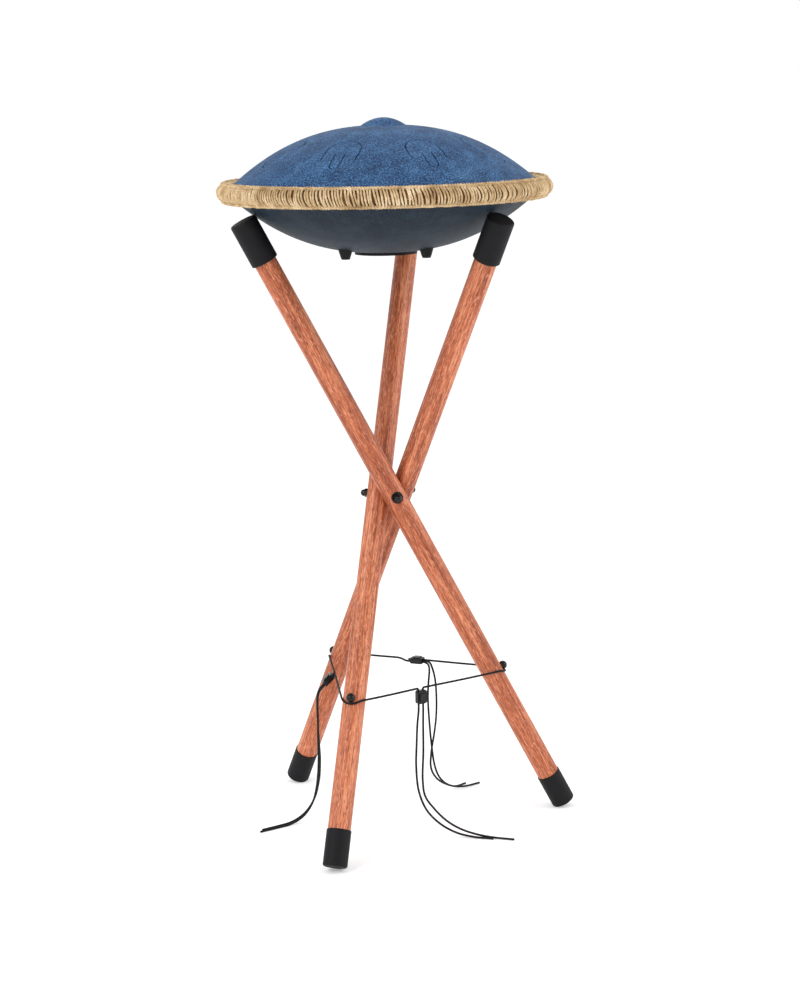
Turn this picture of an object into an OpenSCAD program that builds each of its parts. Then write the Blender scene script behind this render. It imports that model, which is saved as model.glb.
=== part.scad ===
// Steel tongue drum with a rope-bound rim on a folding three-legged wooden stand.
// Millimetres, +Z up, origin on the floor under the stand's centre axis.

/* [Drum] */
// Outer radius of the two shells at the flange
shell_r = 203; // [198:1:204]
// Height of each shell above or below the rim plane
shell_h = 80.5; // [74:0.5:84]
// Sheet thickness of the shells
shell_t = 2; // [1.5:0.1:2.5]
// Height of the rim plane above the leg crossing
rim_h = 395; // [395:1:420]
// Base radius of the centre dome
dome_r = 29; // [24:1:34]
// Height of the centre dome
dome_h = 9.4; // [6:0.2:12]
// Radius of the sound port in the bottom shell
port_r = 35; // [28:1:40]
// Number of tongues around the top shell
tongues = 8; // [6:1:8]
// Width of the tongue slits
slit_w = 1.4; // [1:0.1:2]

/* [Rope] */
// Radius of the centre of the rope binding
rope_r = 200.4; // [199:0.2:202]
// Half width of the rope binding, measured radially
rope_a = 13.6; // [12:0.2:15]
// Half height of the rope binding
rope_b = 12; // [10:0.2:13]

/* [Stand] */
// Lean of each leg from the vertical with the stand open
lean = 27.4; // [26:0.1:27.4]
// Distance from the stand's axis to each leg's axis at the crossing
cross_r = 18; // [17.8:0.1:19]
// Radius of the round wooden legs
leg_r = 14.6; // [14:0.1:14.6]
// Length from the crossing to the top cap's end
top_len = 407.5; // [380:0.5:407.5]
// Length from the crossing to the foot's end
foot_len = 489.5; // [460:0.5:520]

/* [Caps] */
// Radius of the rubber top caps
cap_r = 17.75; // [16.5:0.25:17.75]
// Length of the rubber top caps
cap_len = 58; // [45:1:65]
// Radius of the rubber foot caps
foot_r = 15.75; // [15.5:0.25:17]
// Length of the rubber foot caps
footcap_len = 47; // [35:1:55]

/* [Cord] */
// Radius of the tie cord
cord_r = 1.4; // [1.2:0.1:1.4]
// Height of the tied cord above the floor
cord_z = 198.5; // [198:0.5:199]

/* [Hidden] */
$fn = 72;
foot_round = 3;
hub_z = (foot_len - foot_round) * cos(lean) + (foot_r - foot_round) * sin(lean) + foot_round;
rim_z = hub_z + rim_h;
stud_r = 3;
bush_r = 4.5;
spot_r = 8;
spot_x = cross_r + 11.8;      // spot face's distance from the stand's axis
knob_r = 5.8;
knob_t = -276.6;              // knob's place along the leg, below the crossing
knob_off = leg_r + 2.2;
az_a = -90;                   // azimuths of the three studs
az_b = 30;
az_c = 150;
band_az = 51.974;             // azimuth of the outward normal of the run from leg a to leg b
lock_l = 18;
lock_w = 14.5;
lock_t = 7.6;
hole_x = 3.6;
bend_r = 2.5;

// ---- drum ----
function slope(r) = 2.4 * shell_h / shell_r * pow(r / shell_r, 1.4);
function shell_z(r) = shell_h * (1 - pow(r / shell_r, 2.4));
function crown(r) = r < dome_r ? dome_h * (1 - pow(r / dome_r, 2)) : 0;
function steps(dome) = concat(dome ? [for (i = [0:7]) dome_r * i / 7] : [port_r], [for (i = [0:21]) dome_r + 8 + (194 - dome_r - 8) * i / 21]);
flange_z = 3.2;

module shell_half(dome) {
    rs = [for (r = steps(dome)) if (dome || r >= port_r) r];
    n = len(rs);
    rotate_extrude($fn = 144) polygon(concat(
        [for (r = rs) [r, shell_z(r) + (dome ? crown(r) : 0)]],
        [[198, 3.9], [shell_r, flange_z], [shell_r, flange_z - shell_t], [197, flange_z - shell_t]],
        [for (i = [n - 1:-1:0]) let (r = rs[i]) [r, shell_z(r) + (dome ? crown(r) : 0) - shell_t * sqrt(1 + pow(slope(r), 2))]]));
}

// closed outline of a stroke along a path, both sides offset by half the width
function dirn(p, i) = let (n = len(p), a = p[max(i - 1, 0)], b = p[min(i + 1, n - 1)], d = b - a) d / norm(d);
function stroke(p, w) = concat([for (i = [0:len(p) - 1]) p[i] + w / 2 * [-dirn(p, i)[1], dirn(p, i)[0]]],
    [for (i = [len(p) - 1:-1:0]) p[i] - w / 2 * [-dirn(p, i)[1], dirn(p, i)[0]]]);
arch = concat([[146, -22.6], [137, -22.8], [128, -22.2]],
    [for (a = [-75:15:75]) [126 - 20 * cos(a), 22 * sin(a)]], [[128, 22.2], [137, 22.8], [146, 22.6]]);
inner_u = concat([[136, -6.4]], [for (a = [-90:22.5:90]) [157 + 6.2 * cos(a), 6.2 * sin(a)]], [[136, 6.4]]);

module top_shell() color([0.22, 0.38, 0.6]) translate([0, 0, rim_z]) difference() {
    shell_half(true);
    for (k = [0:tongues - 1]) rotate(9 + 360 / tongues * k) translate([0, 0, 5]) {
        linear_extrude(100) polygon(stroke(arch, slit_w));
        linear_extrude(100) polygon(stroke(inner_u, slit_w));
    }
}
module bottom_shell() color([0.2, 0.34, 0.5]) translate([0, 0, rim_z]) mirror([0, 0, 1]) shell_half(false);
module rim_seal() color([0.08, 0.08, 0.08]) translate([0, 0, rim_z]) rotate_extrude($fn = 144)
    translate([197.2, -1.2]) square([shell_r - 197.2, 2.4]);
module rope_wrap() color([0.78, 0.64, 0.42]) translate([0, 0, rim_z]) rotate_extrude($fn = 144) difference() {
    polygon([for (a = [0:12:348]) [rope_r + rope_a * cos(a), rope_b * sin(a)]]);
    polygon(concat([for (r = [180:2:194]) [r, shell_z(r) + 0.4]], [[198, 4.4], [shell_r + 0.3, flange_z + 0.3], [shell_r + 0.3, -flange_z - 0.3], [198, -4.4]],
        [for (r = [194:-2:180]) [r, -shell_z(r) - 0.4]]));
}
// four rubber feet that the drum stands on when it is off the stand
module drum_feet() color([0.1, 0.1, 0.1]) for (k = [0:3]) rotate(31.6 + 90 * k) {
    zf = rim_z - shell_z(72);
    difference() {
        translate([72, 0, zf - 11]) union() {
            cylinder(h = 3, r1 = 5.2, r2 = 6.4);
            translate([0, 0, 3]) cylinder(h = 12, r1 = 6.4, r2 = 10);
        }
        translate([0, 0, rim_z]) rotate_extrude($fn = 144) polygon(concat([for (r = [46:6:100]) [r, -shell_z(r) - 0.02]], [[100, 20], [46, 20]]));
    }
}
module port_ring() color([0.07, 0.07, 0.07]) {
    zp = rim_z - shell_z(port_r);
    translate([0, 0, zp]) rotate_extrude($fn = 96) difference() {
        translate([port_r - 3, -3]) square([8, 8.4]);
        polygon(concat([for (r = [port_r, port_r + 3, port_r + 6]) [r - 0.02, shell_z(port_r) - shell_z(r) - 0.05]],
            [for (r = [port_r + 6, port_r + 3, port_r]) [r - 0.02, shell_z(port_r) - shell_z(r) + shell_t * sqrt(1 + pow(slope(r), 2)) + 0.05]]));
    }
}

// ---- crossing hardware: Z is turned onto each stud's axis ----
module at_stud(az) translate([0, 0, hub_z]) rotate([0, 0, az]) rotate([0, 90, 0]) children();
module stud_spider() color([0.6, 0.6, 0.62]) union() {
    translate([0, 0, hub_z - 3.3]) cylinder(h = 6.6, r = 3.3, $fn = 60);
    for (az = [az_a, az_b, az_c]) at_stud(az) translate([0, 0, 1]) cylinder(h = spot_x + 7, r = stud_r, $fn = 48);
}
module crossing_washers() color([0.62, 0.62, 0.64]) for (az = [az_a, az_b, az_c]) at_stud(az) translate([0, 0, spot_x + 0.05]) difference() {
    cylinder(h = 1.3, r = 7.5, $fn = 60);
    translate([0, 0, -1]) cylinder(h = 4, r = stud_r + 0.2, $fn = 48);
}
module acorn_nuts() color([0.66, 0.66, 0.68]) for (az = [az_a, az_b, az_c]) at_stud(az) translate([0, 0, spot_x + 1.4]) difference() {
    union() {
        cylinder(h = 5, r = 5.77, $fn = 6);
        rotate_extrude($fn = 48) polygon(concat([[0, 4], [4.6, 4], [4.6, 6.2]], [for (a = [15:15:90]) [4.6 * cos(a), 6.2 + 4.6 * sin(a)]]));
    }
    translate([0, 0, -1]) cylinder(h = 8.6, r = stud_r + 0.02, $fn = 48);
}

// ---- legs: Z runs up the leg from the crossing, X points away from the stand's axis ----
module at_leg(az) translate([0, 0, hub_z]) rotate([0, 0, az]) translate([cross_r, 0, 0]) rotate([lean, 0, 0]) children();
module wood_leg(az) color([0.62, 0.33, 0.19]) at_leg(az) difference() {
    union() {
        translate([0, 0, -foot_len + 5.5]) cylinder(h = foot_len - 5.5 + top_len - 5.5, r = leg_r);
    }
    translate([-30, 0, 0]) rotate([0, 90, 0]) cylinder(h = 60, r = bush_r, $fn = 48);
    translate([spot_x - cross_r, 0, 0]) rotate([0, 90, 0]) cylinder(h = 10, r = spot_r, $fn = 60);
    translate([0, 0, knob_t]) rotate([-90, 0, 0]) translate([0, 0, leg_r - 9]) cylinder(h = 20, r = 1.3, $fn = 32);
}
module leg_bush(az) color([0.72, 0.6, 0.32]) at_leg(az) rotate([0, 90, 0]) translate([0, 0, -13.8]) difference() {
    cylinder(h = 13.8 + spot_x - cross_r, r = bush_r, $fn = 48);
    translate([0, 0, -1]) cylinder(h = 40, r = stud_r + 0.06, $fn = 48);
}
module top_cap(az) color([0.09, 0.09, 0.1]) at_leg(az) rotate_extrude() polygon(concat(
    [[0, top_len - 5.4], [0, top_len]],
    [for (a = [90:-15:0]) [cap_r - 2.5 + 2.5 * cos(a), top_len - 2.5 + 2.5 * sin(a)]],
    [[cap_r, top_len - cap_len + 1], [cap_r - 1, top_len - cap_len], [leg_r, top_len - cap_len], [leg_r, top_len - 5.4]]));
module foot_cap(az) color([0.09, 0.09, 0.1]) at_leg(az) rotate_extrude() polygon(concat(
    [[leg_r, -foot_len + footcap_len], [foot_r - 0.5, -foot_len + footcap_len], [foot_r, -foot_len + footcap_len - 0.5]],
    [for (a = [0:-11.25:-90]) [foot_r - foot_round + foot_round * cos(a), -foot_len + foot_round + foot_round * sin(a)]],
    [[0, -foot_len], [0, -foot_len + 5.4], [leg_r, -foot_len + 5.4]]));
module cord_knob(az) color([0.06, 0.06, 0.06]) at_leg(az) translate([0, 0, knob_t]) rotate([-90, 0, 0]) union() {
    difference() {
        translate([0, 0, knob_off]) sphere(r = knob_r, $fn = 48);
        translate([0, 30, 0]) rotate([90, 0, 0]) cylinder(h = 60, r = leg_r + 0.05);
    }
    translate([0, 0, leg_r - 8]) cylinder(h = 10, r = 1.25, $fn = 32);
}

// ---- cord ----
// level section of the cord's path round a leg, at angle a from the outward side
function wrap_pt(az, a) = let (z = cord_z - 2.6 * max(0, (cos(a) - 0.6) / 0.4), s = (hub_z - z) * tan(lean),
        h = [sin(az), -cos(az)], n = [cos(az), sin(az)], e = leg_r + cord_r + 0.05,
        p = cross_r * n - s * h - e / cos(lean) * cos(a) * h + e * sin(a) * n) [p[0], p[1], z];
// angle on that section where the outward normal points along azimuth g
function wrap_ang(az, g) = let (uh = -cos(g) * sin(az) + sin(g) * cos(az), un = cos(g) * cos(az) + sin(g) * sin(az)) atan2(un, uh / cos(lean));
module rod(a, b, r) {
    d = b - a;
    translate(a) rotate([0, acos(d[2] / norm(d)), atan2(d[1], d[0])]) cylinder(h = norm(d), r = r, $fn = 24);
}
module cord_wrap(az, g1, g2) color([0.05, 0.05, 0.05]) {
    a1 = wrap_ang(az, g1);
    a2 = wrap_ang(az, g2);
    tube([for (i = [0:7]) wrap_pt(az, a1 + (a2 - a1) * i / 7)], cord_r);
}
function tangent_pt(az, g) = wrap_pt(az, wrap_ang(az, g));
// a point on the run between two legs, at fraction w, in the row frame
function run_pt(az1, az2, g, w) = (1 - w) * tangent_pt(az1, g) + w * tangent_pt(az2, g);
w_front = 0.4245;
w_left = 0.42;
w_back = 0.507;
g_back = band_az;
g_left = band_az + 120;
g_front = band_az + 240;
q_front = run_pt(az_c, az_a, g_front, w_front);
q_left = run_pt(az_b, az_c, g_left, w_left);
q_back = run_pt(az_a, az_b, g_back, w_back);
// offsets in a run's own frame: X across the run outward, Y along it
function off(q, g, x, y) = q + [x * cos(g) - y * sin(g), x * sin(g) + y * cos(g), 0];
module strand(a, b) color([0.05, 0.05, 0.05]) rod(a + 0.3 * (b - a) / norm(b - a), b - 0.3 * (b - a) / norm(b - a), cord_r);
e_ca = off(q_front, g_front, -1.1, -hole_x - bend_r);
e_ac = off(q_front, g_front, -1.1, hole_x + bend_r);
e_bc = off(q_left, g_left, -0.78, -hole_x - bend_r) - [0, 0, 0.78];
e_cb = off(q_left, g_left, -0.78, hole_x + bend_r) - [0, 0, 0.78];
e_ab = off(q_back, g_back, 0, 11);
e_ba = off(q_back, g_back, 0, 34);

// lock frame: Z points back out of the entry end, X across the two holes, -Y is the button's side
module at_front() translate(q_front) rotate([0, 0, g_front + 90]) translate([0, 0, -bend_r]) children();
module at_left() translate(q_left) rotate([0, 0, g_left + 90]) rotate([-45, 0, 0]) translate([0, 0, -bend_r]) children();
module at_back() translate(off(q_back, g_back, -8.9, 8) + [0, 0, 1.1]) rotate([0, 0, g_back]) rotate([-90, 0, 0]) children();
module lock_body() color([0.05, 0.05, 0.05]) difference() {
    union() {
        hull() for (x = [-1, 1], z = [-1, 1]) translate([x * (lock_w / 2 - 3), lock_t / 2 - 0.8, z * (lock_l / 2 - 3) - lock_l / 2]) rotate([90, 0, 0]) cylinder(h = lock_t - 1.6, r = 3, $fn = 32);
        hull() for (x = [-1, 1], z = [-1, 1]) translate([x * (lock_w / 2 - 3), lock_t / 2, z * (lock_l / 2 - 3) - lock_l / 2]) rotate([90, 0, 0]) cylinder(h = lock_t, r = 2.2, $fn = 32);
    }
    for (x = [-hole_x, hole_x]) translate([x, 1.1, -lock_l - 1]) cylinder(h = lock_l + 2, r = 1.6, $fn = 32);
    translate([-5, -lock_t / 2 - 1, -lock_l / 2 - 5]) cube([10, 1 + lock_t / 2 - 1.6, 10]);
    translate([0, 2.8, -lock_l / 2]) rotate([90, 0, 0]) cylinder(h = 5, r = 1.5, $fn = 32);
}
module lock_button() color([0.07, 0.07, 0.07]) translate([0, 0, -lock_l / 2]) union() {
    translate([-4.8, -5.2, -4.8]) cube([9.6, 2, 9.6]);
    translate([0, 0, 0]) rotate([90, 0, 0]) cylinder(h = 3.4, r = 0.75, $fn = 32);
}
module lock_spring() color([0.7, 0.7, 0.72]) translate([0, 2.78, -lock_l / 2]) rotate([90, 0, 0]) difference() {
    cylinder(h = 5.9, r = 1.4, $fn = 32);
    translate([0, 0, -1]) cylinder(h = 9, r = 0.9, $fn = 32);
}
// a run of cord that arrives level, bends down over the entry end and passes through one hole
module hole_run(s) {
    translate([s * (hole_x + bend_r), 1.1, 0]) rotate([90, 0, 0]) rotate([0, 0, s > 0 ? 90 : 0]) rotate_extrude(angle = 90, $fn = 48) translate([bend_r, 0]) circle(r = cord_r, $fn = 24);
    translate([s * hole_x, 1.1, 0.4 - lock_l]) cylinder(h = lock_l - 0.4, r = cord_r, $fn = 24);
}
module lock_cords() color([0.05, 0.05, 0.05]) {
    hole_run(1);
    hole_run(-1);
}
module lock_cords_back() color([0.05, 0.05, 0.05]) {
    // far hole: the run from leg a passes behind the body and turns back into it
    translate(q_back) rotate([0, 0, g_back]) {
        translate([-2.65, 11, 0]) rotate_extrude(angle = 180, $fn = 48) translate([2.65, 0]) circle(r = cord_r, $fn = 24);
        translate([-5.3, 11, 0]) rotate([90, 0, 0]) cylinder(h = 20.6, r = cord_r, $fn = 24);
    }
    // near hole: the run from leg b swings round that turn
    tube([e_ba, off(q_back, g_back, 0, 32.5), off(q_back, g_back, -2.2, 27), off(q_back, g_back, -6.4, 21), off(q_back, g_back, -10.6, 16.5), off(q_back, g_back, -12.5, 11.8), off(q_back, g_back, -12.5, -9.6)], cord_r);
}

// ---- free tails: one swept tube along each route ----
function unit(v) = v / norm(v);
function ring(p, i, r) = let (n = len(p), t = unit(p[min(i + 1, n - 1)] - p[max(i - 1, 0)]),
        s = unit(cross(t, abs(t[0]) > 0.9 ? [0, 1, 0] : [1, 0.13, 0])), q = cross(t, s))
    [for (k = [0:7]) p[i] + r * (cos(45 * k) * s + sin(45 * k) * q)];
module tube(p, r) {
    n = len(p);
    polyhedron(points = [for (i = [0:n - 1]) each ring(p, i, r)],
        faces = concat([[for (k = [0:7]) k]], [[for (k = [7:-1:0]) 8 * (n - 1) + k]],
            [for (i = [0:n - 2], k = [0:7], h = [0, 1]) h == 0 ? [8 * i + k, 8 * i + 8 + k, 8 * i + 8 + (k + 1) % 8] : [8 * i + k, 8 * i + 8 + (k + 1) % 8, 8 * i + (k + 1) % 8]]));
}
front_1 = [[10.2, -81, 177.9], [10.1, -81, 169], [8, -81, 150], [6.5, -80.5, 122], [5.5, -80, 94], [8, -81.5, 60], [17, -86, 35], [32, -93.5, 18], [51, -104, 7], [71, -114, 2.4], [95, -127, 1.5]];
front_2 = [[16.9, -78.3, 177.9], [16.9, -78.3, 169], [16.5, -78, 150], [16, -78, 112], [14.5, -77.5, 74], [17, -79, 52], [27, -84, 36], [41, -92.5, 21], [57, -102, 11], [76, -113, 5], [95, -124, 2.4], [120, -138, 1.5]];
left_1 = [[-90.9, 27.7, 183.1], [-94.8, 28.2, 179.2], [-98.5, 28.5, 173.5], [-100.5, 28.2, 165], [-101, 28, 139], [-101.5, 28, 110], [-102, 27.5, 80], [-105, 26, 50], [-112, 23, 26], [-125, 18, 10], [-144, 10, 2.4], [-164, 2, 1.5], [-190, -8, 1.5]];
left_2 = [[-89.9, 34.8, 183.1], [-93.8, 35.3, 179.2], [-97.6, 35.3, 173.5], [-99.6, 35, 165], [-100, 34.6, 139], [-99.5, 34.5, 110], [-98.5, 34, 80], [-101, 33, 52], [-109, 30, 27], [-123, 24.5, 11], [-142, 16.5, 3], [-163, 8.5, 1.5], [-186, -1, 1.5]];
back_1 = [[48.7, 47.8, 198.3], [51.1, 45.9, 198.3], [54.9, 42.9, 196.3], [56.5, 41.5, 191], [56, 46, 168], [57, 54, 146], [59.5, 58, 108], [62.5, 61, 78], [67, 65.5, 49], [74, 72, 30], [86, 82, 15], [104, 97, 4], [124, 114, 1.5]];
back_2 = [[53.1, 53.4, 198.3], [55.5, 51.5, 198.3], [59.3, 48.5, 196.3], [61.5, 47, 191], [66, 49.5, 175], [68.5, 52.5, 150], [68.5, 55.5, 120], [65.5, 57, 94], [61, 57.5, 68], [60.5, 58.5, 46], [70, 65, 28], [90, 77, 13], [114, 92.5, 4], [143, 110, 1.5]];
module tail(p) color([0.05, 0.05, 0.05]) tube(p, cord_r);

top_shell();
bottom_shell();
rim_seal();
rope_wrap();
drum_feet();
port_ring();
stud_spider();
crossing_washers();
acorn_nuts();
wood_leg(az_a);  // leg_a
wood_leg(az_b);  // leg_b
wood_leg(az_c);  // leg_c
leg_bush(az_a);  // bush_a
leg_bush(az_b);  // bush_b
leg_bush(az_c);  // bush_c
top_cap(az_a);  // top_cap_a
top_cap(az_b);  // top_cap_b
top_cap(az_c);  // top_cap_c
foot_cap(az_a);  // foot_cap_a
foot_cap(az_b);  // foot_cap_b
foot_cap(az_c);  // foot_cap_c
cord_knob(az_a);  // knob_a
cord_knob(az_b);  // knob_b
cord_knob(az_c);  // knob_c
cord_wrap(az_a, g_front, g_back + 360);  // cord_wrap_a
cord_wrap(az_b, g_back, g_left);  // cord_wrap_b
cord_wrap(az_c, g_left, g_front);  // cord_wrap_c
strand(tangent_pt(az_c, g_front), e_ca);  // strand_ca
strand(tangent_pt(az_a, g_front), e_ac);  // strand_ac
strand(tangent_pt(az_a, g_back), e_ab);  // strand_ab
strand(tangent_pt(az_b, g_back), e_ba);  // strand_ba
strand(tangent_pt(az_b, g_left), e_bc);  // strand_bc
strand(tangent_pt(az_c, g_left), e_cb);  // strand_cb
at_front() lock_body();  // lock_body_front
at_back() lock_body();  // lock_body_back
at_left() lock_body();  // lock_body_left
at_front() lock_button();  // lock_button_front
at_back() lock_button();  // lock_button_back
at_left() lock_button();  // lock_button_left
at_front() lock_spring();  // lock_spring_front
at_back() lock_spring();  // lock_spring_back
at_left() lock_spring();  // lock_spring_left
at_front() lock_cords();  // lock_cords_front
lock_cords_back();
at_left() lock_cords();  // lock_cords_left
tail(front_1);  // front_tail_1
tail(front_2);  // front_tail_2
tail(back_1);  // back_tail_1
tail(back_2);  // back_tail_2
tail(left_1);  // left_tail_1
tail(left_2);  // left_tail_2
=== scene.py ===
"""Steel tongue drum with a rope-bound rim on a folding three-legged wooden stand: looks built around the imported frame."""
import math

import bpy
import numpy as np
from mathutils import Matrix, Vector


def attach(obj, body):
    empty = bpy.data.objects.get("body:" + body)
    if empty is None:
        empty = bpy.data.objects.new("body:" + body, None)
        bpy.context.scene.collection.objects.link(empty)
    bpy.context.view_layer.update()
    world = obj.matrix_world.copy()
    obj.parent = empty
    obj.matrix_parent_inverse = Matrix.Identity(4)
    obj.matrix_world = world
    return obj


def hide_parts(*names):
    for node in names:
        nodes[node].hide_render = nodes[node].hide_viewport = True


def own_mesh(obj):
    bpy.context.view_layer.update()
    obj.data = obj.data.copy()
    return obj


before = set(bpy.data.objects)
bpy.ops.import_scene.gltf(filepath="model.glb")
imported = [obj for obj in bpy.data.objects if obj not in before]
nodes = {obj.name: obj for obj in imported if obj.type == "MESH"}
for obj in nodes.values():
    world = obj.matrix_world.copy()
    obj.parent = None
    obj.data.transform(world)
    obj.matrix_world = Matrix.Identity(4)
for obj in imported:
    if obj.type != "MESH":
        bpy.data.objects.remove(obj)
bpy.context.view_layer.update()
rng = np.random.default_rng(7)
scene = bpy.context.scene

# ---------------------------------------------------------------- driving sizes, millimetres, as in the CAD source
LEAN = 27.4
CROSS_R = 18.0
LEG_R = 14.6
FOOT_LEN = 489.5
TOP_LEN = 407.5
HUB_Z = (FOOT_LEN - 3) * math.cos(math.radians(LEAN)) + 12.75 * math.sin(math.radians(LEAN)) + 3
RIM_Z = HUB_Z + 395
ROPE_R, ROPE_A, ROPE_B = 200.4, 13.6, 12.0
CORD_R = 1.4
CORD_Z = 198.5
HOLE_X, BEND_R, LOCK_L = 3.6, 2.5, 18.0
AZ = {"a": -90.0, "b": 30.0, "c": 150.0}
G = {"back": 51.974, "left": 171.974, "front": 291.974}
W = {"back": (0.507, "a", "b"), "left": (0.42, "b", "c"), "front": (0.4245, "c", "a")}


# ---------------------------------------------------------------- mesh helpers
def make(name, verts, faces, uvs=None, smooth=True):
    me = bpy.data.meshes.new(name)
    me.from_pydata([tuple(v) for v in verts], [], [tuple(f) for f in faces])
    if smooth:
        me.polygons.foreach_set("use_smooth", [True] * len(me.polygons))
    if uvs is not None:
        layer = me.uv_layers.new(name="UVMap")
        idx = np.zeros(len(me.loops), np.int32)
        me.loops.foreach_get("vertex_index", idx)
        layer.data.foreach_set("uv", np.asarray(uvs, np.float32)[idx].ravel())
    me.update()
    ob = bpy.data.objects.new(name, me)
    scene.collection.objects.link(ob)
    return ob


def curve_through(pts, step):
    """Points along a centripetal Catmull-Rom curve through pts, about step apart."""
    p = np.asarray(pts, float)
    p = np.vstack([2 * p[0] - p[1], p, 2 * p[-1] - p[-2]])
    out = []
    for i in range(1, len(p) - 2):
        p0, p1, p2, p3 = p[i - 1 : i + 3]
        t0 = 0.0
        t1 = t0 + np.linalg.norm(p1 - p0) ** 0.5
        t2 = t1 + np.linalg.norm(p2 - p1) ** 0.5
        t3 = t2 + np.linalg.norm(p3 - p2) ** 0.5
        n = max(2, int(math.ceil(np.linalg.norm(p2 - p1) / step)))
        for t in np.linspace(t1, t2, n, endpoint=False):
            a1 = (t1 - t) / (t1 - t0) * p0 + (t - t0) / (t1 - t0) * p1
            a2 = (t2 - t) / (t2 - t1) * p1 + (t - t1) / (t2 - t1) * p2
            a3 = (t3 - t) / (t3 - t2) * p2 + (t - t2) / (t3 - t2) * p3
            b1 = (t2 - t) / (t2 - t0) * a1 + (t - t0) / (t2 - t0) * a2
            b2 = (t3 - t) / (t3 - t1) * a2 + (t - t1) / (t3 - t1) * a3
            out.append((t2 - t) / (t2 - t1) * b1 + (t - t1) / (t2 - t1) * b2)
    out.append(p[-2])
    return np.array(out)


def frames(p, closed=False):
    """Tangents and two parallel-transported normals along a path."""
    if closed:
        t = np.roll(p, -1, 0) - np.roll(p, 1, 0)
    else:
        t = np.gradient(p, axis=0)
    t /= np.linalg.norm(t, axis=1)[:, None]
    ref = np.array([0.0, 0, 1]) if abs(t[0][2]) < 0.8 else np.array([1.0, 0.3, 0])
    n = np.zeros_like(p)
    n[0] = ref - t[0] * (ref @ t[0])
    n[0] /= np.linalg.norm(n[0])
    for i in range(1, len(p)):
        v = n[i - 1] - t[i] * (n[i - 1] @ t[i])
        n[i] = v / np.linalg.norm(v)
    return t, n, np.cross(t, n)


def tube(name, paths, radius, sides=10, round_ends=True):
    """One mesh of tubes along paths (mm), with UVs: u round the tube, v along it in metres."""
    verts, faces, uvs = [], [], []
    for p in paths:
        p = np.asarray(p, float)
        rad = np.full(len(p), radius)
        if round_ends:
            t0 = (p[1] - p[0]) / np.linalg.norm(p[1] - p[0])
            t1 = (p[-1] - p[-2]) / np.linalg.norm(p[-1] - p[-2])
            p = np.vstack([p[0], p[0] + t0 * radius * 0.18, p[1:-1], p[-1] - t1 * radius * 0.18, p[-1]])
            rad = np.full(len(p), radius)
            rad[0] = rad[-1] = radius * 0.8
        t, n, b = frames(p)
        s = np.concatenate([[0], np.cumsum(np.linalg.norm(np.diff(p, axis=0), axis=1))]) / 1000
        base = len(verts)
        for i in range(len(p)):
            for k in range(sides + 1):
                a = 2 * math.pi * k / sides
                verts.append((p[i] + rad[i] * (math.cos(a) * n[i] + math.sin(a) * b[i])) / 1000)
                uvs.append((k / sides, s[i]))
        m = sides + 1
        for i in range(len(p) - 1):
            for k in range(sides):
                faces.append((base + i * m + k, base + i * m + k + 1, base + (i + 1) * m + k + 1, base + (i + 1) * m + k))
        for end, flip in ((0, True), (len(p) - 1, False)):
            ring = [base + end * m + k for k in range(sides)]
            verts.append(p[end] / 1000)
            uvs.append((0.5, s[end]))
            c = len(verts) - 1
            for k in range(sides):
                e = (ring[k], ring[(k + 1) % sides], c)
                faces.append(e[::-1] if flip else e)
    return weld(make(name, verts, faces, uvs))


def weld(ob):
    """Closes the seam of a tube whose first and last side share their places."""
    import bmesh

    bm = bmesh.new()
    bm.from_mesh(ob.data)
    bmesh.ops.remove_doubles(bm, verts=bm.verts, dist=1e-7)
    bm.to_mesh(ob.data)
    bm.free()
    ob.data.update()
    return ob


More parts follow.
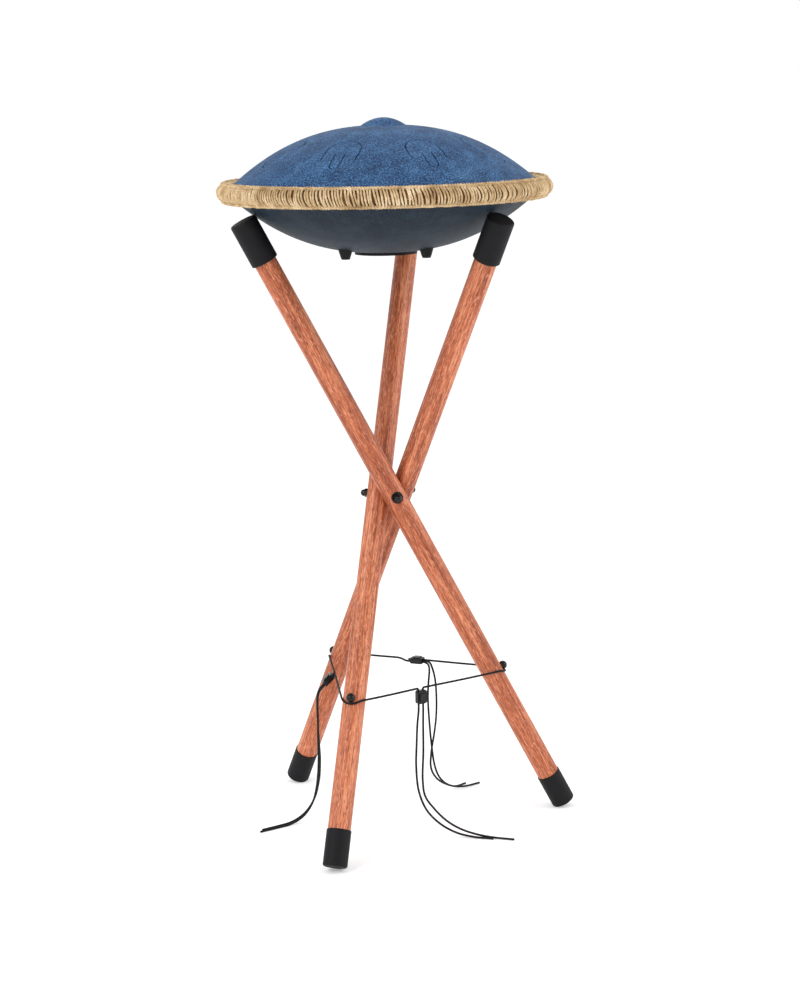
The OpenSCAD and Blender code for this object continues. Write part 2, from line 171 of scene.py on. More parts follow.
# ---------------------------------------------------------------- node helpers
class Mat:
    def __init__(self, name):
        self.m = bpy.data.materials.new(name)
        self.m.use_nodes = True
        self.t = self.m.node_tree
        self.t.nodes.clear()
        self.out = self.n("ShaderNodeOutputMaterial")
        self.p = self.n("ShaderNodeBsdfPrincipled")
        self.t.links.new(self.p.outputs[0], self.out.inputs[0])

    def n(self, kind, **props):
        node = self.t.nodes.new(kind)
        for k, v in props.items():
            setattr(node, k, v)
        return node

    def set(self, node, name, value):
        if hasattr(value, "links") or isinstance(value, bpy.types.NodeSocket):
            self.t.links.new(value, node.inputs[name])
        else:
            node.inputs[name].default_value = value

    def coord(self, out="Object"):
        return self.n("ShaderNodeTexCoord").outputs[out]

    def mapping(self, vec, scale=(1, 1, 1), rot=(0, 0, 0), loc=(0, 0, 0)):
        m = self.n("ShaderNodeMapping")
        self.set(m, "Vector", vec)
        m.inputs["Scale"].default_value = scale
        m.inputs["Rotation"].default_value = rot
        m.inputs["Location"].default_value = loc
        return m.outputs[0]

    def noise(self, vec, scale, detail=2.0, rough=0.5, dist=0.0):
        m = self.n("ShaderNodeTexNoise")
        self.set(m, "Vector", vec)
        m.inputs["Scale"].default_value = scale
        m.inputs["Detail"].default_value = detail
        m.inputs["Roughness"].default_value = rough
        m.inputs["Distortion"].default_value = dist
        return m.outputs[0]

    def voronoi(self, vec, scale, feature="F1"):
        m = self.n("ShaderNodeTexVoronoi", feature=feature)
        self.set(m, "Vector", vec)
        m.inputs["Scale"].default_value = scale
        return m.outputs["Distance"]

    def ramp(self, fac, stops, interp="LINEAR"):
        m = self.n("ShaderNodeValToRGB")
        self.set(m, "Fac", fac)
        cr = m.color_ramp
        cr.interpolation = interp
        while len(cr.elements) < len(stops):
            cr.elements.new(0.5)
        for e, (pos, col) in zip(cr.elements, stops):
            e.position = pos
            e.color = (*col, 1) if len(col) == 3 else col
        return m.outputs[0]

    def rng(self, val, a, b, c, d):
        m = self.n("ShaderNodeMapRange")
        self.set(m, "Value", val)
        for k, v in zip(("From Min", "From Max", "To Min", "To Max"), (a, b, c, d)):
            m.inputs[k].default_value = v
        return m.outputs[0]

    def math(self, op, a, b=0.0, c=None):
        m = self.n("ShaderNodeMath", operation=op)
        for i, v in enumerate((a, b) if c is None else (a, b, c)):
            if isinstance(v, bpy.types.NodeSocket):
                self.t.links.new(v, m.inputs[i])
            else:
                m.inputs[i].default_value = v
        return m.outputs[0]

    def mix(self, fac, a, b, blend="MIX"):
        m = self.n("ShaderNodeMix", data_type="RGBA", blend_type=blend)
        for i, v in ((0, fac), (6, a), (7, b)):
            if isinstance(v, bpy.types.NodeSocket):
                self.t.links.new(v, m.inputs[i])
            else:
                m.inputs[i].default_value = v if i == 0 else ((*v, 1) if len(v) == 3 else v)
        return m.outputs[2]

    def bump(self, height, strength, dist, normal=None):
        m = self.n("ShaderNodeBump")
        m.inputs["Strength"].default_value = strength
        m.inputs["Distance"].default_value = dist
        self.set(m, "Height", height)
        if normal is not None:
            self.set(m, "Normal", normal)
        return m.outputs[0]

    def pset(self, **kw):
        for k, v in kw.items():
            self.set(self.p, k.replace("_", " "), v)
        return self


def lin(r, g, b):
    return tuple(((c / 255) / 12.92) if c / 255 <= 0.04045 else (((c / 255) + 0.055) / 1.055) ** 2.4 for c in (r, g, b))


# ---------------------------------------------------------------- materials
def paint(name, dark, mid, light, speck):
    """Hammered powder coat: a fine dark and light speckle over a slow mottle."""
    m = Mat(name)
    co = m.coord()
    fine = m.noise(co, 520, 2, 0.6)
    grit = m.noise(co, 1150, 2, 0.6)
    slow = m.noise(co, 34, 4, 0.55)
    f = m.math("ADD", m.math("MULTIPLY", fine, 0.5), m.math("ADD", m.math("MULTIPLY", grit, 0.32), m.math("MULTIPLY", slow, 0.18)))
    col = m.ramp(f, [(0.41, dark), (0.50, mid), (0.585, light)])
    spots = m.rng(m.voronoi(co, 360), 0.08, 0.34, 1.0, 0.0)
    col = m.mix(m.math("MULTIPLY", spots, 0.55), col, speck)
    # faint handling wear: slightly greyer where a slow noise peaks
    col = m.mix(m.rng(m.noise(co, 9, 3, 0.6), 0.55, 0.8, 0.0, 0.10), col, lin(112, 134, 160))
    h = m.math("ADD", m.math("MULTIPLY", fine, 0.6), m.math("MULTIPLY", grit, 0.4))
    b = m.bump(h, 0.8, 0.0009)
    b = m.bump(m.noise(co, 110, 3, 0.5), 0.2, 0.0009, b)
    m.pset(Base_Color=col, Normal=b, Roughness=m.rng(fine, 0.35, 0.65, 0.50, 0.66))
    m.p.inputs["Specular IOR Level"].default_value = 0.16
    return m.m


def wood(name, az, seed):
    """Oiled sapele dowel: fibres, pores and dark streaks that run along the leg."""
    m = Mat(name)
    rot = Matrix.Rotation(math.radians(az), 3, "Z") @ Matrix.Rotation(math.radians(LEAN), 3, "X")
    p0 = Vector((0, 0, HUB_Z / 1000)) + Matrix.Rotation(math.radians(az), 3, "Z") @ Vector((CROSS_R / 1000, 0, 0))
    inv = rot.transposed()
    e = inv.to_euler("XYZ")
    loc = -(inv @ p0)
    co = m.mapping(m.coord(), rot=(e.x, e.y, e.z), loc=loc)
    co = m.mapping(co, loc=(seed * 0.31, seed * 0.17, seed * 0.9))
    warp = m.noise(m.mapping(co, scale=(1, 1, 0.12)), 30, 2, 0.5)
    # interlocked ribbon figure: broad bands along the length
    bands = m.noise(m.mapping(co, scale=(1, 1, 0.05)), 95, 4, 0.6, 0.5)
    fibre = m.noise(m.mapping(co, scale=(1, 1, 0.055)), 620, 5, 0.62, 0.25)
    fine = m.noise(m.mapping(co, scale=(1, 1, 0.09)), 1700, 2, 0.5)
    f = m.math("ADD", m.math("MULTIPLY", bands, 0.42), m.math("ADD", m.math("MULTIPLY", fibre, 0.43), m.math("MULTIPLY", fine, 0.15)))
    col = m.ramp(f, [(0.38, lin(104, 42, 20)), (0.46, lin(152, 76, 42)), (0.52, lin(188, 104, 66)), (0.60, lin(226, 150, 112))])
    # interlocked flecks a few millimetres long, lighter than the ground
    fleck = m.rng(m.noise(m.mapping(co, scale=(1, 1, 0.24)), 560, 2, 0.55), 0.54, 0.68, 0.0, 0.6)
    col = m.mix(fleck, col, lin(230, 158, 122))
    # pores: short dark dashes
    pore = m.rng(m.noise(m.mapping(co, scale=(1, 1, 0.10)), 1150, 2, 0.5), 0.57, 0.66, 0.0, 0.8)
    col = m.mix(pore, col, lin(84, 34, 16))
    # a few long dark streaks
    streak = m.rng(m.noise(m.mapping(co, scale=(1, 1, 0.022)), 150, 2, 0.4, 0.3), 0.62, 0.72, 0.0, 0.6)
    col = m.mix(streak, col, lin(98, 42, 20))
    col = m.mix(m.rng(warp, 0.3, 0.7, 0.0, 0.22), col, lin(170, 82, 50))
    h = m.math("SUBTRACT", fibre, m.math("MULTIPLY", pore, 0.8))
    m.pset(Base_Color=col, Normal=m.bump(h, 0.35, 0.0003), Roughness=m.rng(fibre, 0.3, 0.7, 0.36, 0.54))
    m.p.inputs["Specular IOR Level"].default_value = 0.4
    return m.m


def rubber(name="rubber_black"):
    m = Mat(name)
    co = m.coord()
    fine = m.noise(co, 2600, 3, 0.6)
    dust = m.noise(co, 75, 4, 0.6)
    col = m.ramp(m.math("ADD", m.math("MULTIPLY", fine, 0.35), m.math("MULTIPLY", dust, 0.65)), [(0.38, lin(6, 6, 8)), (0.62, lin(19, 19, 23))])
    # scuffs, only where the slow noise peaks
    col = m.mix(m.rng(m.noise(m.mapping(co, scale=(1, 1, 0.35)), 340, 3, 0.7), 0.66, 0.76, 0.0, 0.3), col, lin(44, 44, 48))
    b = m.bump(fine, 0.45, 0.00018)
    b = m.bump(dust, 0.12, 0.0006, b)
    m.pset(Base_Color=col, Normal=b, Roughness=m.rng(dust, 0.3, 0.7, 0.50, 0.68))
    m.p.inputs["Specular IOR Level"].default_value = 0.2
    return m.m


def gloss(name, a, b_, rough=(0.12, 0.24)):
    m = Mat(name)
    co = m.coord()
    cloud = m.noise(co, 300, 4, 0.6)
    scratch = m.noise(m.mapping(co, scale=(1, 0.12, 1), rot=(0.3, 0.5, 0.9)), 2600, 2, 0.6)
    col = m.ramp(cloud, [(0.35, a), (0.68, b_)])
    m.pset(Base_Color=col, Normal=m.bump(m.math("ADD", m.math("MULTIPLY", cloud, 0.7), m.math("MULTIPLY", scratch, 0.3)), 0.12, 0.00025), Roughness=m.rng(scratch, 0.35, 0.7, *rough))
    m.p.inputs["Specular IOR Level"].default_value = 0.3
    return m.m


def metal(name, a, b_, rough=(0.22, 0.4)):
    m = Mat(name)
    co = m.coord()
    brushed = m.noise(m.mapping(co, scale=(1, 1, 0.06)), 2400, 3, 0.6)
    stain = m.noise(co, 260, 4, 0.6)
    col = m.ramp(m.math("ADD", m.math("MULTIPLY", brushed, 0.4), m.math("MULTIPLY", stain, 0.6)), [(0.36, a), (0.64, b_)])
    m.pset(Base_Color=col, Metallic=1.0, Normal=m.bump(brushed, 0.18, 0.00012), Roughness=m.rng(stain, 0.3, 0.7, *rough))
    return m.m


def cord_mat(name="cord_black"):
    """Braided nylon cord: plaits cross round the tube."""
    m = Mat(name)
    uv = m.n("ShaderNodeSeparateXYZ")
    m.set(uv, "Vector", m.coord("UV"))
    u = m.math("MULTIPLY", uv.outputs[0], 2 * math.pi * 4)
    v = m.math("MULTIPLY", uv.outputs[1], 2 * math.pi / 0.0016)
    a = m.math("SINE", m.math("ADD", u, v))
    b = m.math("SINE", m.math("SUBTRACT", u, v))
    plait = m.math("MAXIMUM", a, b)
    fuzz = m.noise(m.coord(), 3200, 2, 0.6)
    h = m.math("ADD", m.math("MULTIPLY", plait, 0.4), m.math("MULTIPLY", fuzz, 0.4))
    # Colour follows the plait relief: the grooves are painted darker as painted shade and the crests lighter as painted
    # highlight; the fuzz adds random tone.
    col = m.ramp(m.rng(h, -0.2, 0.8, 0.0, 1.0), [(0.1, lin(4, 4, 5)), (0.9, lin(20, 20, 23))])
    m.pset(Base_Color=col, Normal=m.bump(h, 0.55, 0.00022), Roughness=m.rng(fuzz, 0.3, 0.7, 0.45, 0.68))
    m.p.inputs["Specular IOR Level"].default_value = 0.2
    return m.m


def jute(name, dark, mid, light, ply=0.0052):
    """Two-ply jute twine: the plies twist along the tube's own UVs."""
    m = Mat(name)
    uv = m.n("ShaderNodeSeparateXYZ")
    uvv = m.coord("UV")
    m.set(uv, "Vector", uvv)
    ph = m.math("ADD", m.math("MULTIPLY", uv.outputs[0], 4 * math.pi), m.math("MULTIPLY", uv.outputs[1], -2 * math.pi / ply * 2))
    plies = m.math("ABSOLUTE", m.math("SINE", m.math("MULTIPLY", ph, 0.5)))
    fibre = m.noise(m.mapping(uvv, scale=(9, 420, 1)), 1.0, 4, 0.65, 0.6)
    co = m.coord()
    slow = m.noise(co, 60, 3, 0.6)
    fine = m.noise(co, 1500, 3, 0.65)
    f = m.math("ADD", m.math("MULTIPLY", slow, 0.45), m.math("ADD", m.math("MULTIPLY", fibre, 0.3), m.math("MULTIPLY", fine, 0.25)))
    col = m.ramp(f, [(0.34, dark), (0.49, mid), (0.63, light)])
    # The grooves between the two plies are painted darker: painted shade in the twist.
    col = m.mix(m.rng(plies, 0.0, 0.30, 0.6, 0.0), col, dark)
    h = m.math("ADD", m.math("MULTIPLY", plies, 0.65), m.math("MULTIPLY", m.math("ADD", fibre, fine), 0.35))
    m.pset(Base_Color=col, Normal=m.bump(h, 0.9, 0.00055), Roughness=m.rng(fine, 0.3, 0.7, 0.72, 0.95))
    m.p.inputs["Specular IOR Level"].default_value = 0.15
    return m.m


M = {
    "top": paint("drum_paint_top", lin(8, 34, 66), lin(34, 70, 110), lin(78, 120, 164), lin(10, 34, 64)),
    # The underside gets the same paint made much darker and greyer: painted shade for the shell that faces away from
    # the light.
    "bottom": paint("drum_paint_shaded_under", lin(4, 12, 21), lin(14, 30, 43), lin(38, 56, 70), lin(5, 13, 22)),
    "rubber": rubber(),
    "gloss": gloss("plastic_gloss_black", lin(5, 5, 6), lin(14, 14, 16)),
    "button": gloss("plastic_button", lin(12, 12, 14), lin(26, 26, 30), (0.2, 0.34)),
    "steel": gloss("hardware_black_plated", lin(6, 6, 7), lin(18, 18, 20), (0.10, 0.2)),
    "spring": metal("spring_wire", lin(150, 150, 154), lin(198, 198, 204)),
    "brass": metal("bush_brass", lin(150, 118, 60), lin(205, 172, 104)),
    "cord": cord_mat(),
    "jute": jute("jute_twine", lin(120, 88, 54), lin(198, 168, 126), lin(242, 222, 186)),
    # The darker jute copy below is painted shade for the gaps in the winding.
    "jute_painted_shade": jute("jute_painted_shade", lin(52, 36, 22), lin(92, 68, 44), lin(140, 110, 76)),
}


def paint_node(n, mat):
    ob = nodes[n]
    ob.data.materials.clear()
    ob.data.materials.append(mat)
    ob.data.polygons.foreach_set("material_index", [0] * len(ob.data.polygons))


def smooth_node(n, angle=32):
    """Smooth shading on a carried-over node: normals only, the vertices stay."""
    ob = nodes[n]
    att = ob.data.attributes.get("custom_normal")
    if att is not None:
        ob.data.attributes.remove(att)
    ob.data.polygons.foreach_set("use_smooth", [True] * len(ob.data.polygons))
    w = ob.modifiers.new("weld", "WELD")
    w.merge_threshold = 0.00001
    e = ob.modifiers.new("split", "EDGE_SPLIT")
    e.split_angle = math.radians(angle)


paint_node("top_shell", M["top"])
paint_node("bottom_shell", M["bottom"])
for n in ["rim_seal", "drum_feet", "port_ring"] + ["top_cap_" + k for k in "abc"] + ["foot_cap_" + k for k in "abc"]:
    paint_node(n, M["rubber"])
for n in ["stud_spider", "crossing_washers", "acorn_nuts"]:
    paint_node(n, M["steel"])
for i, k in enumerate("abc"):
    paint_node("leg_" + k, wood("wood_leg_" + k, AZ[k], i + 1))
    paint_node("bush_" + k, M["brass"])
    paint_node("knob_" + k, M["gloss"])
for k in ("front", "back", "left"):
    paint_node("lock_body_" + k, M["gloss"])
    paint_node("lock_button_" + k, M["button"])
    paint_node("lock_spring_" + k, M["spring"])
for n in nodes:
    if n not in ("rope_wrap",):
        smooth_node(n, 40 if n in ("top_shell", "bottom_shell") else 32)


# ---------------------------------------------------------------- camera
pos = Vector((-0.69524, -2.91833, 0.99179))
fwd = Vector((0.23127, 0.95544, -0.18344)).normalized()
up = Vector((0.06486, 0.17299, 0.98278))
right = fwd.cross(up).normalized()
up = right.cross(fwd).normalized()
cam_data = bpy.data.cameras.new("camera")
cam_data.sensor_fit = "AUTO"
cam_data.sensor_width = 36
cam_data.lens = 84.157
cam_data.clip_start, cam_data.clip_end = 0.05, 100
cam = bpy.data.objects.new("camera", cam_data)
scene.collection.objects.link(cam)
cam.matrix_world = Matrix(((right.x, up.x, -fwd.x, pos.x), (right.y, up.y, -fwd.y, pos.y), (right.z, up.z, -fwd.z, pos.z), (0, 0, 0, 1)))
scene.camera = cam

# ---------------------------------------------------------------- cord geometry, as in the CAD source
TL = math.tan(math.radians(LEAN))
CL = math.cos(math.radians(LEAN))


def wrap_ang(az, g):
    az, g = math.radians(az), math.radians(g)
    uh = -math.cos(g) * math.sin(az) + math.sin(g) * math.cos(az)
    un = math.cos(g) * math.cos(az) + math.sin(g) * math.sin(az)
    return math.atan2(un, uh / CL)


def wrap_pt(az, a):
    az = math.radians(az)
    z = CORD_Z - 2.6 * max(0.0, (math.cos(a) - 0.6) / 0.4)
    s = (HUB_Z - z) * TL
    h = np.array([math.sin(az), -math.cos(az)])
    n = np.array([math.cos(az), math.sin(az)])
    e = LEG_R + CORD_R + 0.05
    p = CROSS_R * n - s * h - e / CL * math.cos(a) * h + e * math.sin(a) * n
    return np.array([p[0], p[1], z])


def off(q, g, x, y, z=0.0):
    g = math.radians(g)
    return q + np.array([x * math.cos(g) - y * math.sin(g), x * math.sin(g) + y * math.cos(g), z])


Q, T = {}, {}
for k, (w, l1, l2) in W.items():
    t1 = wrap_pt(AZ[l1], wrap_ang(AZ[l1], G[k]))
    t2 = wrap_pt(AZ[l2], wrap_ang(AZ[l2], G[k]))
    T[k] = (t1, t2)
    Q[k] = (1 - w) * t1 + w * t2
HB = HOLE_X + BEND_R
ENDS = {
    "front": (off(Q["front"], G["front"], -1.1, -HB), off(Q["front"], G["front"], -1.1, HB)),
    "left": (off(Q["left"], G["left"], -0.78, -HB, -0.78), off(Q["left"], G["left"], -0.78, HB, -0.78)),
    "back": (off(Q["back"], G["back"], 0, 11), off(Q["back"], G["back"], 0, 34)),
}

# wraps round the legs
for leg, g1, g2 in (("a", G["front"], G["back"] + 360), ("b", G["back"], G["left"]), ("c", G["left"], G["front"])):
    a1, a2 = wrap_ang(AZ[leg], g1), wrap_ang(AZ[leg], g2)
    if leg == "a" and a2 < a1:
        a2 += 2 * math.pi
    while a2 - a1 > math.pi:
        a2 -= 2 * math.pi
    while a2 - a1 < -math.pi:
        a2 += 2 * math.pi
    p = [wrap_pt(AZ[leg], a1 + (a2 - a1) * i / 24) for i in range(25)]
    ob = tube("wrap_cord_" + leg, [p], CORD_R, 12, False)
    ob.data.materials.append(M["cord"])
    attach(ob, "leg_" + leg)
    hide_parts("cord_wrap_" + leg)

# straight strands: those whose KEEP is below 1 get a mesh of their own
KEEP = {"ca": 1.0, "ac": 0.6311, "ab": 0.7091, "ba": 1.0, "bc": 1.0, "cb": 0.6152}
for s, k, i in (("ca", "front", 0), ("ac", "front", 1), ("ab", "back", 0), ("ba", "back", 1), ("bc", "left", 0), ("cb", "left", 1)):
    a, b = T[k][i], ENDS[k][i]
    d = (b - a) / np.linalg.norm(b - a)
    a, b = a - 0.05 * d, b + 0.05 * d
    # a slight sag of the tied cord, a fraction of its thickness
    n = 14
    p = [a + (b - a) * j / n - np.array([0, 0, 0.35]) * math.sin(math.pi * j / n) for j in range(n + 1)]
    ob = tube("tied_cord_" + s, [p], CORD_R, 12, False)
    ob.data.materials.append(M["cord"])
    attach(ob, "cord_" + s)
    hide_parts("strand_" + s)
    if KEEP[s] < 1:
        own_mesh(ob)

# the runs through the locks
for k in ("front", "left"):
    rz = Matrix.Rotation(math.radians(G[k] + 90), 3, "Z")
    if k == "left":
        rz = rz @ Matrix.Rotation(math.radians(-45), 3, "X")
    o = Vector(Q[k]) + rz @ Vector((0, 0, -BEND_R))
    paths = []
    for s in (1, -1):
        loc = [Vector((s * (HOLE_X + BEND_R) - s * BEND_R * math.sin(t), 1.1, BEND_R * math.cos(t))) for t in np.linspace(0, math.pi / 2, 9)]
        loc += [Vector((s * HOLE_X, 1.1, z)) for z in np.linspace(-2, 0.4 - LOCK_L, 8)]
        paths.append([np.array(o + rz @ v) for v in loc])
    ob = tube("lock_run_" + k, paths, CORD_R, 12, False)
    ob.data.materials.append(M["cord"])
    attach(ob, "lock_" + k)
    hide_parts("lock_cords_" + k)
g, q = G["back"], Q["back"]
arc = [off(q, g, -2.65 + 2.65 * math.cos(t), 11 + 2.65 * math.sin(t)) for t in np.linspace(0, math.pi, 13)]
one = arc + [off(q, g, -5.3, y) for y in np.linspace(9.5, -9.6, 8)]
two = curve_through([off(q, g, 0, 34), off(q, g, 0, 32.5), off(q, g, -2.2, 27), off(q, g, -6.4, 21), off(q, g, -10.6, 16.5), off(q, g, -12.5, 11.8), off(q, g, -12.5, -9.6)], 2.0)
ob = tube("lock_run_back", [one, two], CORD_R, 12, False)
ob.data.materials.append(M["cord"])
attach(ob, "lock_back")
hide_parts("lock_cords_back")

# free tails, on the routes of the CAD source
ROUTES = {
    "front_tail_1": [[10.2, -81, 177.9], [10.1, -81, 169], [8, -81, 150], [6.5, -80.5, 122], [5.5, -80, 94], [8, -81.5, 60], [17, -86, 35], [32, -93.5, 18], [51, -104, 7], [71, -114, 2.4], [95, -127, 1.5]],
    "front_tail_2": [[16.9, -78.3, 177.9], [16.9, -78.3, 169], [16.5, -78, 150], [16, -78, 112], [14.5, -77.5, 74], [17, -79, 52], [27, -84, 36], [41, -92.5, 21], [57, -102, 11], [76, -113, 5], [95, -124, 2.4], [120, -138, 1.5]],
    "left_tail_1": [[-90.9, 27.7, 183.1], [-94.8, 28.2, 179.2], [-98.5, 28.5, 173.5], [-100.5, 28.2, 165], [-101, 28, 139], [-101.5, 28, 110], [-102, 27.5, 80], [-105, 26, 50], [-112, 23, 26], [-125, 18, 10], [-144, 10, 2.4], [-164, 2, 1.5], [-190, -8, 1.5]],
    "left_tail_2": [[-89.9, 34.8, 183.1], [-93.8, 35.3, 179.2], [-97.6, 35.3, 173.5], [-99.6, 35, 165], [-100, 34.6, 139], [-99.5, 34.5, 110], [-98.5, 34, 80], [-101, 33, 52], [-109, 30, 27], [-123, 24.5, 11], [-142, 16.5, 3], [-163, 8.5, 1.5], [-186, -1, 1.5]],
    "back_tail_1": [[48.7, 47.8, 198.3], [51.1, 45.9, 198.3], [54.9, 42.9, 196.3], [56.5, 41.5, 191], [56, 46, 168], [57, 54, 146], [59.5, 58, 108], [62.5, 61, 78], [67, 65.5, 49], [74, 72, 30], [86, 82, 15], [104, 97, 4], [124, 114, 1.5]],
    "back_tail_2": [[53.1, 53.4, 198.3], [55.5, 51.5, 198.3], [59.3, 48.5, 196.3], [61.5, 47, 191], [66, 49.5, 175], [68.5, 52.5, 150], [68.5, 55.5, 120], [65.5, 57, 94], [61, 57.5, 68], [60.5, 58.5, 46], [70, 65, 28], [90, 77, 13], [114, 92.5, 4], [143, 110, 1.5]],
}
for name, route in ROUTES.items():
    k = name.split("_")[0]
    p = curve_through(route, 4.0)
    p[:, 2] = np.maximum(p[:, 2], 1.45)
    ob = tube("cord_" + name, [p], CORD_R, 12, True)
    ob.data.materials.append(M["cord"])
    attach(ob, "lock_" + k)
    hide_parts(name)
    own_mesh(ob)

# ---------------------------------------------------------------- rope binding
PAIRS = 168
TURNS = PAIRS * 2
PTS = 27
SIDES = 8
END = math.radians(126)
TW = 1.34
ea, eb = ROPE_A - TW, ROPE_B - TW


def ell(r_phi, a_off=0.0, b_off=0.0):
    return (ROPE_R + (ea + a_off) * np.cos(r_phi), (eb + b_off) * np.sin(r_phi))


def winding():
    verts, faces, uvs = [], [], []
    a = np.linspace(END, -END, PTS)
    mid = np.clip(np.cos(a * 0.5) ** 1.2, 0, 1)
    for k in range(TURNS):
        pair, sub = divmod(k, 2)
        base_phi = 2 * math.pi * (pair + 0.5) / PAIRS
        wob = rng.normal(0, 1, 5)
        spread = (0.75 + 1.25 * mid) * (1 if sub else -1)
        lump = 0.48 * mid * np.sin(a * 2.1 + wob[0]) * wob[1] + 0.46 * wob[2] * mid
        slant = -3.0 * np.sin(a * 0.72) + 1.4 * mid - 0.7
        ds = spread + lump + slant + 0.16 * wob[3]
        lift = 0.22 * wob[4] * mid + (0.18 if sub else -0.1)
        r = ROPE_R + (ea + lift) * np.cos(a)
        z = (eb + lift) * np.sin(a)
        phi = base_phi + ds / 207.0
        p = np.stack([r * np.cos(phi), r * np.sin(phi), z + RIM_Z], 1)
        nrm = np.stack([np.cos(a) / ea * np.cos(phi), np.cos(a) / ea * np.sin(phi), np.sin(a) / eb], 1)
        nrm /= np.linalg.norm(nrm, axis=1)[:, None]
        t = np.gradient(p, axis=0)
        t /= np.linalg.norm(t, axis=1)[:, None]
        b = np.cross(t, nrm)
        b /= np.linalg.norm(b, axis=1)[:, None]
        nn = np.cross(b, t)
        s = np.concatenate([[0], np.cumsum(np.linalg.norm(np.diff(p, axis=0), axis=1))]) / 1000 + 0.06 * k
        rad = TW * (1 + 0.07 * np.sin(a * 9 + wob[0] * 3) + 0.03 * wob[3])
        base = len(verts)
        ang = 2 * math.pi * np.arange(SIDES + 1) / SIDES
        ring = p[:, None, :] + rad[:, None, None] * (np.cos(ang)[None, :, None] * nn[:, None, :] + np.sin(ang)[None, :, None] * b[:, None, :])
        verts.extend((ring.reshape(-1, 3) / 1000).tolist())
        for i in range(PTS):
            uvs.extend([(j / SIDES, s[i]) for j in range(SIDES + 1)])
        m = SIDES + 1
        for i in range(PTS - 1):
            o = base + i * m
            faces.extend([(o + j, o + m + j, o + m + j + 1, o + j + 1) for j in range(SIDES)])
        faces.append(tuple(base + j for j in range(SIDES)))
        faces.append(tuple(base + (PTS - 1) * m + j for j in range(SIDES))[::-1])
    return weld(make("rope_winding", verts, faces, uvs))


def braid(name, ang0, sign):
    """Chain edge: three twines plaited along the circumference."""
    paths = []
    links = 112
    n = links * 10
    for ph in (0, 1, 2):
        th = np.arange(n) / n * 2 * math.pi
        q = th * links + 2 * math.pi * ph / 3
        wander = 0.35 * np.sin(th * 37 + ph * 2) + 0.3 * np.sin(th * 83 + ph)
        w = 1.75 * np.sin(q) + wander
        h = 1.15 * np.sin(2 * q) * sign + 0.25 * np.sin(th * 61 + ph)
        a = math.radians(ang0) + w / 12.4
        r = ROPE_R + (ROPE_A + 0.1 + h) * np.cos(a)
        z = (ROPE_B + 0.1 + h) * np.sin(a)
        paths.append(np.stack([r * np.cos(th), r * np.sin(th), z + RIM_Z], 1))
    verts, faces, uvs = [], [], []
    sides = 7
    for p in paths:
        t, nn, b = frames(p, closed=True)
        # reference from the ring's own centre keeps the frame closed
        c = p.copy()
        c[:, 0] -= ROPE_R * p[:, 0] / np.linalg.norm(p[:, :2], axis=1)
        c[:, 1] -= ROPE_R * p[:, 1] / np.linalg.norm(p[:, :2], axis=1)
        c[:, 2] -= RIM_Z
        b = np.cross(t, c)
        b /= np.linalg.norm(b, axis=1)[:, None]
        nn = np.cross(b, t)
        s = np.concatenate([[0], np.cumsum(np.linalg.norm(np.diff(p, axis=0), axis=1))]) / 1000
        base = len(verts)
        m = sides + 1
        ang = 2 * math.pi * np.arange(m) / sides
        ring = p[:, None, :] + 1.15 * (np.cos(ang)[None, :, None] * nn[:, None, :] + np.sin(ang)[None, :, None] * b[:, None, :])
        verts.extend((ring.reshape(-1, 3) / 1000).tolist())
        for i in range(n):
            uvs.extend([(j / sides, s[i]) for j in range(m)])
        for i in range(n):
            o, o2 = base + i * m, base + (i + 1) % n * m
            faces.extend([(o + j, o + j + 1, o2 + j + 1, o2 + j) for j in range(sides)])
    return weld(make(name, verts, faces, uvs))


def core():
    """The bound cord bed under the winding, seen only through its gaps; its darker jute is painted shade for those
    gaps.
    """
    seg, pts = 240, 22
    a = np.linspace(math.radians(128), -math.radians(128), pts)
    verts, faces, uvs = [], [], []
    for i in range(seg):
        th = 2 * math.pi * i / seg
        for j in range(pts):
            k = 1 + 0.012 * math.sin(th * 90 + j)
            r = ROPE_R + (ROPE_A - 2.5) * k * math.cos(a[j])
            z = (ROPE_B - 2.5) * k * math.sin(a[j])
            verts.append((r * math.cos(th) / 1000, r * math.sin(th) / 1000, (z + RIM_Z) / 1000))
            uvs.append((j / pts * 3, th * 0.2))
    for i in range(seg):
        for j in range(pts - 1):
            o, o2 = i * pts + j, (i + 1) % seg * pts + j
            faces.append((o, o + 1, o2 + 1, o2))
        faces.append((i * pts + pts - 1, i * pts, (i + 1) % seg * pts, (i + 1) % seg * pts + pts - 1))
    return make("rope_shade_bed", verts, faces, uvs)


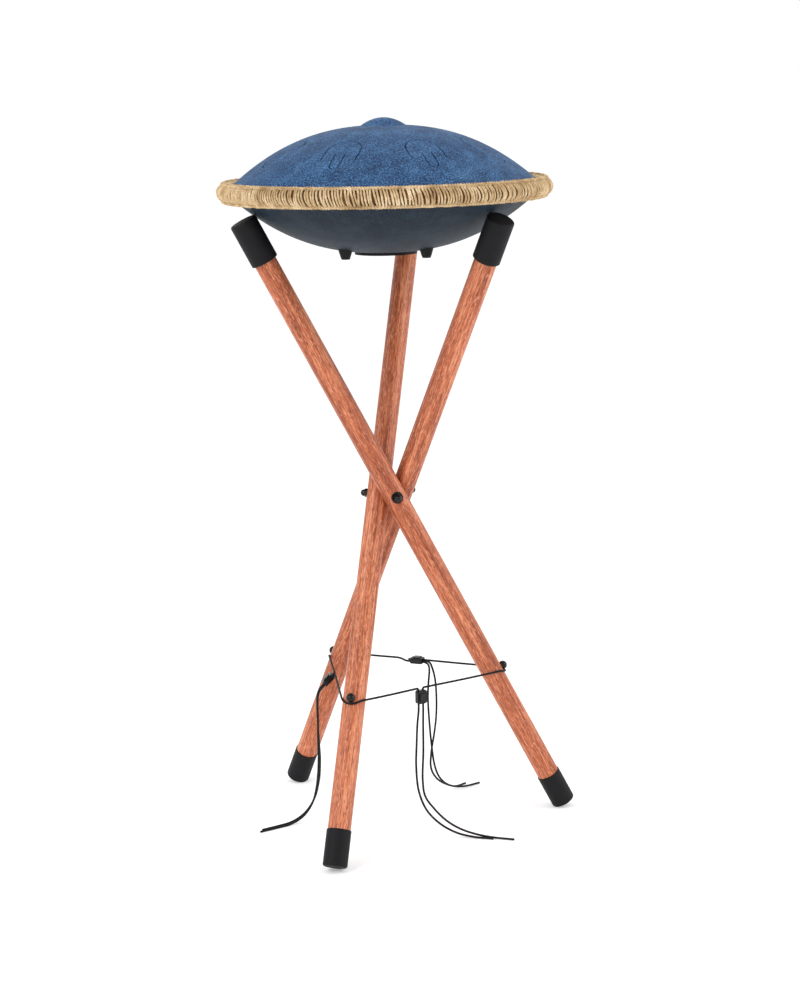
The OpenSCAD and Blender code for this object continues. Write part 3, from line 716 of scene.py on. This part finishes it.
def hairs(count):
    """Loose jute fibres that stand out of the twine."""
    verts, faces = [], []
    for _ in range(count):
        th = rng.uniform(0, 2 * math.pi)
        a = rng.uniform(-2.0, 2.0)
        r0, z0 = ROPE_R + ROPE_A * math.cos(a) * 0.99, ROPE_B * math.sin(a) * 0.99
        rad = np.array([math.cos(th), math.sin(th), 0])
        tan = np.array([-math.sin(th), math.cos(th), 0])
        upv = np.array([0, 0, 1.0])
        nrm = rad * math.cos(a) + upv * math.sin(a)
        d1 = nrm * rng.uniform(0.3, 0.9) + tan * rng.normal(0, 0.8) + upv * rng.normal(0, 0.5)
        d1 /= np.linalg.norm(d1)
        L = rng.uniform(1.5, 4.2)
        bend = (tan * rng.normal(0, 1) + upv * rng.normal(0, 0.8)) * 0.9
        p = np.array([rad * r0 + upv * (z0 + RIM_Z) + d1 * L * t + bend * t * t for t in (0, 0.4, 0.75, 1.0)])
        t, n, b = frames(p)
        base = len(verts)
        for i, rr in enumerate((0.11, 0.09, 0.07, 0.03)):
            for j in range(3):
                g_ = 2 * math.pi * j / 3
                verts.append((p[i] + rr * (math.cos(g_) * n[i] + math.sin(g_) * b[i])) / 1000)
        for i in range(3):
            for j in range(3):
                faces.append((base + i * 3 + j, base + i * 3 + (j + 1) % 3, base + (i + 1) * 3 + (j + 1) % 3, base + (i + 1) * 3 + j))
        faces.append((base + 2, base + 1, base))
        faces.append((base + 9, base + 10, base + 11))
    return make("rope_fibres", verts, faces, [(0.5, 0.1)] * len(verts))


rope = winding()
rope.data.materials.append(M["jute"])
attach(rope, "drum")
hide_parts("rope_wrap")
parts = [core(), braid("rope_chain_top", 70, 1), braid("rope_chain_bottom", -70, -1), hairs(1400)]
for ob in parts:
    # The bed under the winding takes the darker jute, painted shade for its gaps.
    ob.data.materials.append(M["jute_painted_shade"] if ob.name == "rope_shade_bed" else M["jute"])
    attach(ob, "drum")

# ---------------------------------------------------------------- floor and light
fm = Mat("floor_paper")
fm.p.inputs["Base Color"].default_value = (0.94, 0.94, 0.94, 1)
fm.p.inputs["Roughness"].default_value = 0.95
fm.p.inputs["Specular IOR Level"].default_value = 0.0
fm.p.inputs["Emission Color"].default_value = (1, 1, 1, 1)
fm.p.inputs["Emission Strength"].default_value = 0.24
n = 64
floor = make("floor", [(0, 0, 0)] + [(30 * math.cos(2 * math.pi * i / n), 30 * math.sin(2 * math.pi * i / n), 0) for i in range(n)], [(0, 1 + i, 1 + (i + 1) % n) for i in range(n)], None, False)
floor.data.materials.append(fm.m)

world = bpy.data.worlds.new("studio")
scene.world = world
world.use_nodes = True
wt = world.node_tree
bg = wt.nodes.get("Background") or wt.nodes.new("ShaderNodeBackground")
wc = wt.nodes.new("ShaderNodeTexCoord")
ws = wt.nodes.new("ShaderNodeSeparateXYZ")
wr = wt.nodes.new("ShaderNodeValToRGB")
wt.links.new(wc.outputs["Generated"], ws.inputs[0])
wt.links.new(ws.outputs[2], wr.inputs[0])
wr.color_ramp.elements[0].position = 0.42
wr.color_ramp.elements[0].color = (1, 1, 1, 1)
wr.color_ramp.elements[1].position = 0.85
wr.color_ramp.elements[1].color = (0.72, 0.72, 0.73, 1)
wt.links.new(wr.outputs[0], bg.inputs[0])
bg.inputs[1].default_value = 1.0


def area(name, loc, target, size, power, col=(1, 1, 1)):
    d = bpy.data.lights.new(name, "AREA")
    d.shape = "RECTANGLE"
    d.size, d.size_y = size
    d.energy = power
    d.color = col
    o = bpy.data.objects.new(name, d)
    scene.collection.objects.link(o)
    o.location = loc
    o.rotation_mode = "QUATERNION"
    o.rotation_quaternion = (Vector(target) - Vector(loc)).to_track_quat("-Z", "Y")
    return o


area("key_left", (-2.4, -1.4, 2.1), (0, 0, 0.6), (0.8, 1.8), 36)
area("fill_right", (2.6, -1.2, 1.6), (0, 0, 0.5), (0.6, 1.8), 26)
area("top", (0.2, 0.4, 3.0), (0, 0, 0.7), (1.2, 1.2), 10)
scene.view_settings.view_transform = "Standard"
scene.view_settings.look = "None"
scene.view_settings.exposure = 0.0
